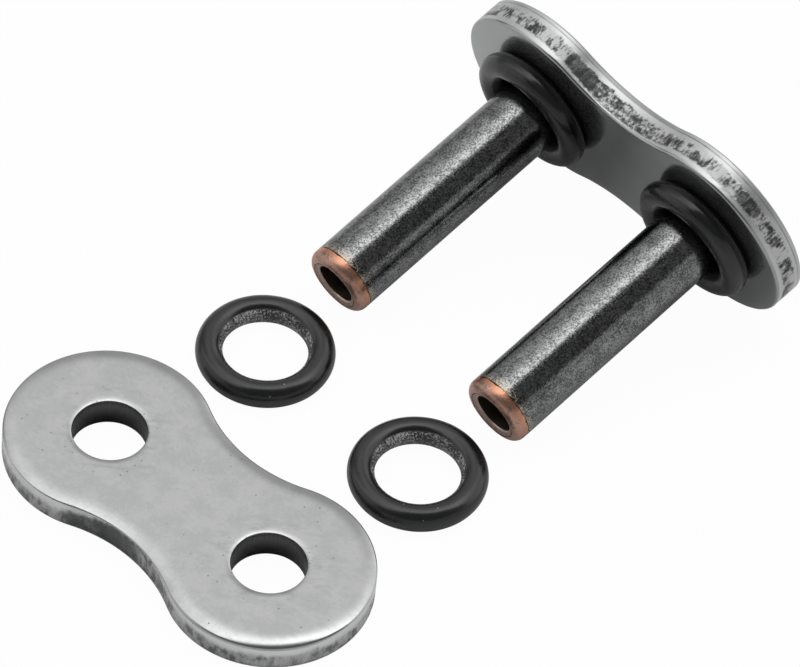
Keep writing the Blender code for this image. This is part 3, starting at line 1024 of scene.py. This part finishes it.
@dataclass
class RivetPin:
    """Rivet pin: staked head, speckled shank, copper-plated taper and drilled free end."""

    diameter: float = 5.3 * MM
    reach: float = 20.8 * MM
    end_wall: float = 1.07 * MM
    hole_depth: float = 2.4 * MM
    hole_cone: float = 0.6 * MM
    hole_break: float = 0.13 * MM
    plating: float = 1.05 * MM
    round_width: float = 0.57 * MM
    round_length: float = 0.7 * MM
    round_turn: float = math.radians(86)
    head_spread: float = 0.35 * MM
    head_rim: float = 0.15 * MM
    head_crown: float = 0.3 * MM
    plate_thickness: float = 2.55 * MM
    seat_gap: float = 0.02 * MM
    face_radius: float = 1.96 * MM  # edge of the dished end face
    face_dish: float = 0.11 * MM  # how far the face sinks towards the hole
    crease: float = 0.03 * MM  # turned in around the end face
    sides: int = 128
    crown_steps: int = 12
    shank_steps: int = 20
    round_steps: int = 10
    break_steps: int = 5
    finishes: tuple[Finish, ...] = (TumbledPin(), CopperEnd(), FacedEnd(), DrilledHole())

    def profile(self) -> list[tuple[float, float, PinSlot]]:
        """Half section from the head to the bottom of the drilled hole.

        Returns:
            Radius, height and material slot of the strip after each point.
        """
        radius = self.diameter / 2
        head = radius + self.head_spread
        seat = -self.plate_thickness - self.seat_gap
        rim = seat - self.head_rim
        hole = radius - self.end_wall
        floor = self.reach - self.hole_depth
        rows = []
        for across, up in arc((0.0, 0.0), 1.0, -math.pi / 2, 0.0, self.crown_steps):
            rows.append((head * across, rim + self.head_crown * up, PinSlot.SHANK))
        rows.append((head, seat, PinSlot.SHANK))
        rows.append((radius, seat, PinSlot.SHANK))
        for step in range(self.shank_steps):
            rows.append((radius, (self.reach - self.plating) * step / self.shank_steps, PinSlot.SHANK))
        rows.append((radius, self.reach - self.plating, PinSlot.COPPER))
        for step in range(self.round_steps + 1):
            angle = self.round_turn * step / self.round_steps
            inwards = self.round_width * (1 - math.cos(angle)) / (1 - math.cos(self.round_turn))
            back = self.round_length * (1 - math.sin(angle) / math.sin(self.round_turn))
            rows.append((radius - inwards, self.reach - back, PinSlot.COPPER))
        rows.append((self.face_radius + self.crease, self.reach, PinSlot.FACE))
        rows.append((self.face_radius, self.reach - self.crease, PinSlot.FACE))
        rows.append((self.face_radius - self.crease, self.reach, PinSlot.FACE))
        lip = self.reach - self.face_dish - self.hole_break
        for inward, up in arc((0.0, 0.0), self.hole_break, math.pi / 2, 0.0, self.break_steps):
            rows.append((hole + self.hole_break - inward, lip + up, PinSlot.FACE))
        rows[-1] = (*rows[-1][:2], PinSlot.HOLE)
        rows.append((hole, floor, PinSlot.HOLE))
        rows.append((0.0, floor - self.hole_cone, PinSlot.HOLE))
        return rows

    def build(self) -> bmesh.types.BMesh:
        """Turns the section about the pin's axis.

        Returns:
            The mesh, with the plate's inner face at height 0 and the free end up.
        """
        rows = self.profile()
        turns = [2 * math.pi * step / self.sides for step in range(self.sides)]
        points = [[Vector((r * math.cos(a), r * math.sin(a), up)) for a in turns] for r, up, _ in rows]
        bm = bmesh.new()
        skin(bm, points, True, [slot for _, _, slot in rows[:-1]])
        return bm


@dataclass
class SealRing:
    """Seal ring of round section, a little uneven as moulded rubber is, with a rough bore."""

    ring_radius: float
    section_radius: float
    seed: float = 0.0
    uneven: float = 0.02 * MM
    swell: float = 2.2  # how quickly the unevenness changes around the ring
    sides: int = 176
    section_sides: int = 48
    finishes: tuple[Finish, ...] = (NitrileRubber(),)

    def build(self) -> bmesh.types.BMesh:
        """Turns the section about the ring's axis.

        Returns:
            The mesh, lying flat about its own middle.
        """
        rows = []
        for step in range(self.sides):
            turn = 2 * math.pi * step / self.sides
            out = Vector((math.cos(turn), math.sin(turn), 0.0))
            row = []
            for side in range(self.section_sides):
                angle = 2 * math.pi * side / self.section_sides
                across = Vector((math.cos(angle), math.sin(angle)))
                soft = noise.noise(Vector((*(out.xy * self.swell), self.seed + across.x)))
                section = self.section_radius - self.uneven * (0.5 + 0.5 * soft)
                level = out * (self.ring_radius + section * across.x)
                row.append(level + Vector((0.0, 0.0, section * across.y)))
            rows.append(row)
        rows.append(rows[0])
        bm = bmesh.new()
        skin(bm, rows, True, [0] * self.sides)
        return bm


@dataclass
class PinnedLink:
    """Rear plate with its two pins and two seated rings, leaning forward on the bench."""

    edge: ShearedEdge = ShearedEdge(
        "blanked_and_soiled_carbon_steel_edge",
        rubbed="#bebfbf",
        torn_light="#c0c1c0",
        torn_mid="#7c7d7c",
        torn_dark="#424343",
        tear_mm=(0.2, 0.6),
        waist_tear_mm=(0.24, 0.3),
        cluster_mm=0.85,
        drift_mm=2.6,
        drift=0.5,
        speck_mm=0.1,
        clump=1.4,
        waist_clump=0.6,
        ramp=(0.46, 0.6, 0.74),
        band_mm=(0.55, 1.6),
        band_edge_mm=(-0.1, 0.15),
        waist_band_mm=(0.25, 1.55),
        wave_mm=0.9,
        waist_shade=0.1,
        # painted shade under the rolled corner starts at this height
        roll_shade_mm=2.02,
        roughness=(0.55, 0.34),
        bare=0.75,
        soiled=(
            SoiledSpot((-4.9, -6.7, 1.05), 1.05),
            SoiledSpot((-3.7, -6.2, 1.0), 1.0),
            SoiledSpot((11.6, -6.45, 1.2), 0.8),
            SoiledSpot((12.4, -5.9, 1.2), 0.8),
        ),
        relief_mm=0.03,
    )
    # painted shade: darker than the front plate's ground face, so that the rear plate's rolled corner looks
    # dim
    back: GroundFace = GroundFace("ground_carbon_steel_darkened_as_painted_shade", light="#a0a1a1", cloud="#919292")
    pin: RivetPin = field(default_factory=RivetPin)
    # painted shade: the seated rings' bore is darker than the loose rings', as it lies in shade
    seated_rubber: NitrileRubber = NitrileRubber("greased_nitrile_rubber", bore_light="#2e2e2e", ripple=1.3)
    body: str = "pinned_link"
    ring_seed: float = 3.0

    @property
    def plate(self) -> LinkPlate:
        """The rear plate, with its rolled outer face at the back."""
        return LinkPlate(
            (self.back, self.edge, PiercedHole(), PolishedFace()),
            thickness=2.55 * MM,
            roll_depth=0.165 * MM,
            corner=0.6 * MM,
            corner_from=math.radians(10),
            corner_to=math.radians(50),
            least_roll=1.0,
            seed=4.0,
        )

    @property
    def axes(self) -> tuple[Vector, Vector, Vector]:
        """Across the link, up the plate and along the pins, as the ring's joint says."""
        joint = next(j for j in frame["joints"] if j["name"] == "left_seated_ring_slide")
        along = Vector(joint["axis"]).normalized()
        across = Vector((1.0, 0.0, 0.0))
        return (across, along.cross(across).normalized(), along)

    def at(self, point: Vector) -> Matrix:
        """The link's axes set at a point."""
        across, up, along = self.axes
        turned = Matrix((across, up, along)).transposed()
        return Matrix.Translation(point) @ turned.to_4x4()

    def build(self) -> None:
        """Builds and dresses the pieces of the standing link."""
        across, up, along = self.axes
        roots = []
        for side in Side:
            node = f"{side.word}_rivet_pin"
            root = middle(node, (across, up)) + along * (span(node, along)[1] - self.pin.reach)
            roots.append(root)
            place_piece(f"{side.word}_pin", self.pin, self.at(root), node, self.body)
            self.seat_ring(side)
        place = self.at((roots[0] + roots[1]) / 2) @ Matrix.Rotation(math.pi, 4, "X")
        place_piece("rear_plate", self.plate, place, "rear_link_plate", self.body)

    def seat_ring(self, side: Side) -> None:
        """Builds the ring that sits on one pin.

        Args:
            side: The pin's side.
        """
        node = f"{side.word}_seated_o_ring"
        across, _, along = self.axes
        low, high = span(node, along)
        left, right = span(node, across)
        section = (high - low) / 2
        radius = (right - left) / 2 - section
        ring = SealRing(radius, section, self.ring_seed + side, finishes=(self.seated_rubber,))
        place = self.at(middle(node, self.axes))
        place_piece(f"{side.word}_inner_seal", ring, place, node, f"{side.word}_seated_ring")


@dataclass
class LoosePieces:
    """The front plate and the two seal rings that lie flat on the bench."""

    edge: ShearedEdge = ShearedEdge(
        soil="#585959",
        soiled=(
            SoiledSpot((-3.6, -6.4, 0.8), 2.1),
            SoiledSpot((-1.0, -5.7, 0.8), 2.3),
        ),
    )
    plate_turn: float = math.radians(0.56)
    ring_seed: float = 8.0

    @property
    def plate(self) -> LinkPlate:
        """The front plate, with its outer face up."""
        return LinkPlate((GroundFace(), self.edge, PiercedHole(), PolishedFace()))

    def build(self) -> None:
        """Builds and dresses the loose pieces."""
        low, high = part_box("front_link_plate")
        centre = (low + high) / 2
        centre.z = low.z
        place = Matrix.Translation(centre) @ Matrix.Rotation(self.plate_turn, 4, "Z")
        place_piece("front_plate", self.plate, place, "front_link_plate", "front_plate")
        for side in Side:
            self.lay_ring(side)

    def lay_ring(self, side: Side) -> None:
        """Builds one loose ring.

        Args:
            side: The pin that it lies in front of.
        """
        node = f"{side.word}_loose_o_ring"
        low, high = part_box(node)
        size = (high - low) / 2
        ring = SealRing(size.x - size.z, size.z, self.ring_seed + side)
        place = Matrix.Translation((low + high) / 2)
        place_piece(f"{side.word}_outer_seal", ring, place, node, f"{side.word}_loose_ring")


@dataclass(frozen=True)
class BenchPaper(Finish):
    """Matt white paper under the pieces: pale, with a faint soft shadow."""

    name: str = "matt_white_paper"
    colour: str = "#e6e6e6"
    roughness: float = 0.9
    glow_camera: float = 0.97  # how far the paper that is seen is lifted towards white
    glow_glossy: float = 0.02  # the same for its reflections

    def paint(self, tree: Tree, shader: Node, place: Socket) -> None:
        """Lays lit paper, lifted towards white where it is seen (see Finish.paint)."""
        feed(tree, shader, {"Base Color": self.colour, "Roughness": self.roughness})
        path = add(tree, "LightPath").outputs
        rays = {0: path["Is Camera Ray"], 1: path["Is Transmission Ray"]}
        seen = add(tree, "Math", rays, operation="MAXIMUM")
        shiny = add(tree, "Math", {0: path["Is Glossy Ray"], 1: self.glow_glossy}, operation="MULTIPLY")
        share = add(tree, "Math", {0: seen, 1: self.glow_camera, 2: shiny}, operation="MULTIPLY_ADD")
        white = add(tree, "Emission", {"Strength": 1.0})
        both = add(tree, "MixShader", {0: share, 1: shader, 2: white})
        feed(tree, tree.nodes["Material Output"], {"Surface": both})


@dataclass(frozen=True)
class SoftPatch:
    """A round patch of the room with a soft edge."""

    way: Vector3
    edge: Point  # cosine of the angle from its middle where it starts and where it is full
    level: float

    def light(self, tree: Tree, way: Socket) -> Node:
        """Adds the patch's nodes to the world.

        Args:
            tree: The world's node tree.
            way: The direction looked in.

        Returns:
            Node that gives the patch's level.
        """
        near = add(tree, "VectorMath", {0: way, 1: Vector(self.way).normalized()}, operation="DOT_PRODUCT")
        return add(tree, "MapRange", {0: near, FROM: self.edge, 4: self.level}, **SMOOTH)


@dataclass
class Studio:
    """Bench, soft light and camera at the photograph's viewing angle."""

    floor_size: float = 6.0
    aim: Vector = field(default_factory=lambda: Vector((2.60, -2.01, 9.26)) * MM)
    azimuth: float = math.radians(41.80)
    elevation: float = math.radians(48.83)
    roll: float = math.radians(5.52)
    distance: float = 599.5 * MM
    focal_px: float = 8687.0
    image_width_px: float = 800.0
    sensor_mm: float = 36.0
    clip: Point = (0.01, 50.0)
    ceiling_level: float = 2.6
    ceiling_across: Point = (-1.6, -0.12)  # slope left of the zenith where it is dimmest and brightest
    ceiling_dim: float = 0.16
    ceiling_curve: float = 2.0  # how late it brightens
    ceiling_back: Point = (0.3, 0.9)  # slope behind the zenith where it starts to fade and is gone
    ceiling_front: Point = (-0.5, -0.85)  # the same in front of the zenith
    ceiling_low: Point = (0.1, 0.45)  # height where it starts and is full, as the sine of the angle
    least_rise: float = 0.08  # the slopes are taken from this height up
    wall_top: Point = (0.39, 0.53)  # height where the walls start to fade and are gone
    wall_level: float = 0.45
    wall_slope: float = 0.3  # how much lighter the right wall is, and darker the left one
    glows: tuple[SoftPatch, ...] = (
        SoftPatch((-0.64, 0.70, 0.32), (0.72, 0.92), 0.62),
        SoftPatch((0.30, 0.75, 0.59), (0.72, 0.93), 1.3),
        SoftPatch((-0.70, -0.60, 0.40), (0.80, 0.95), 0.9),
    )
    camera_side: SoftPatch = SoftPatch((0.73, -0.38, 0.57), (0.53, 0.63), 1.0)
    dark_level: float = 0.15

    def build(self) -> None:
        """Sets up the bench, the world and the camera."""
        self.lay_floor()
        self.light_room()
        self.set_camera()
        bpy.context.scene.view_settings.view_transform = "Standard"

    def lay_floor(self) -> None:
        """Lays the pale floor that everything stands on."""
        half = self.floor_size / 2
        mesh = bpy.data.meshes.new("bench_paper")
        square = [(-half, -half, 0), (half, -half, 0), (half, half, 0), (-half, half, 0)]
        mesh.from_pydata(square, [], [(0, 1, 2, 3)])
        mesh.materials.append(BenchPaper().material())
        show("bench_paper", mesh)

    def light_room(self) -> None:
        """Lights the room: a wide soft ceiling light, pale walls and a dark camera side."""
        world = bpy.data.worlds.new("studio_room")
        world.use_nodes = True
        bpy.context.scene.world = world
        tree = world.node_tree
        way = add(tree, "TexCoord").outputs["Generated"]
        axes = add(tree, "SeparateXYZ", {0: way})
        up = axes.outputs[2]
        rise = add(tree, "Math", {0: up, 1: self.least_rise}, operation="MAXIMUM")
        aside = add(tree, "Math", {0: axes.outputs[0], 1: rise}, operation="DIVIDE")
        behind = add(tree, "Math", {0: axes.outputs[1], 1: rise}, operation="DIVIDE")
        across = add(tree, "MapRange", {0: aside, FROM: self.ceiling_across})
        curve = add(tree, "Math", {0: across, 1: self.ceiling_curve}, operation="POWER")
        bright = self.ceiling_level
        shaped = add(tree, "MapRange", {0: curve, 3: self.ceiling_dim * bright, 4: bright})
        back = add(tree, "MapRange", {0: behind, FROM: self.ceiling_back, TO: FALL})
        high = add(tree, "MapRange", {0: up, FROM: self.ceiling_low}, **SMOOTH)
        front = add(tree, "MapRange", {0: behind, FROM: self.ceiling_front, TO: FALL})
        ends = add(tree, "Math", {0: back, 1: front}, operation="MULTIPLY")
        faded = add(tree, "Math", {0: ends, 1: high}, operation="MULTIPLY")
        level = add(tree, "Math", {0: shaped, 1: faded}, operation="MULTIPLY")
        for glow in self.glows:
            level = add(tree, "Math", {0: level, 1: glow.light(tree, way)}, operation="ADD")
        dark = self.camera_side.light(tree, way)
        seen = add(tree, "Mix", {0: dark, 2: level, 3: self.dark_level}, data_type="FLOAT")
        low = add(tree, "MapRange", {0: up, FROM: self.wall_top, TO: FALL}, **SMOOTH)
        sloped = {0: axes.outputs[0], 1: self.wall_slope * self.wall_level, 2: self.wall_level}
        tone = add(tree, "Math", sloped, operation="MULTIPLY_ADD")
        walls = add(tree, "Math", {0: low, 1: tone}, operation="MULTIPLY")
        room = add(tree, "Math", {0: seen, 1: walls}, operation="MAXIMUM")
        feed(tree, tree.nodes["Background"], {"Color": room})

    def set_camera(self) -> None:
        """Sets the camera with the photograph's angle, roll and focal length."""
        data = bpy.data.cameras.new("camera")
        data.sensor_width = self.sensor_mm
        data.lens = self.focal_px / self.image_width_px * self.sensor_mm
        data.clip_start, data.clip_end = self.clip
        turn, rise = self.azimuth, self.elevation
        right = Vector((math.cos(turn), math.sin(turn), 0.0))
        back = Vector((math.sin(turn) * math.cos(rise), -math.cos(turn) * math.cos(rise), math.sin(rise)))
        up = back.cross(right)
        tilted = math.cos(self.roll) * right + math.sin(self.roll) * up
        upright = math.cos(self.roll) * up - math.sin(self.roll) * right
        camera = show("camera", data)
        turned = Matrix((tilted, upright, back)).transposed().to_4x4()
        camera.matrix_world = Matrix.Translation(self.aim + back * self.distance) @ turned
        bpy.context.scene.camera = camera


def main() -> None:
    """Builds the pieces and the studio."""
    logging.basicConfig(level=logging.INFO, format="%(name)s: %(message)s")
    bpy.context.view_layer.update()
    PinnedLink().build()
    LoosePieces().build()
    Studio().build()


if __name__ == "__main__":
    main()
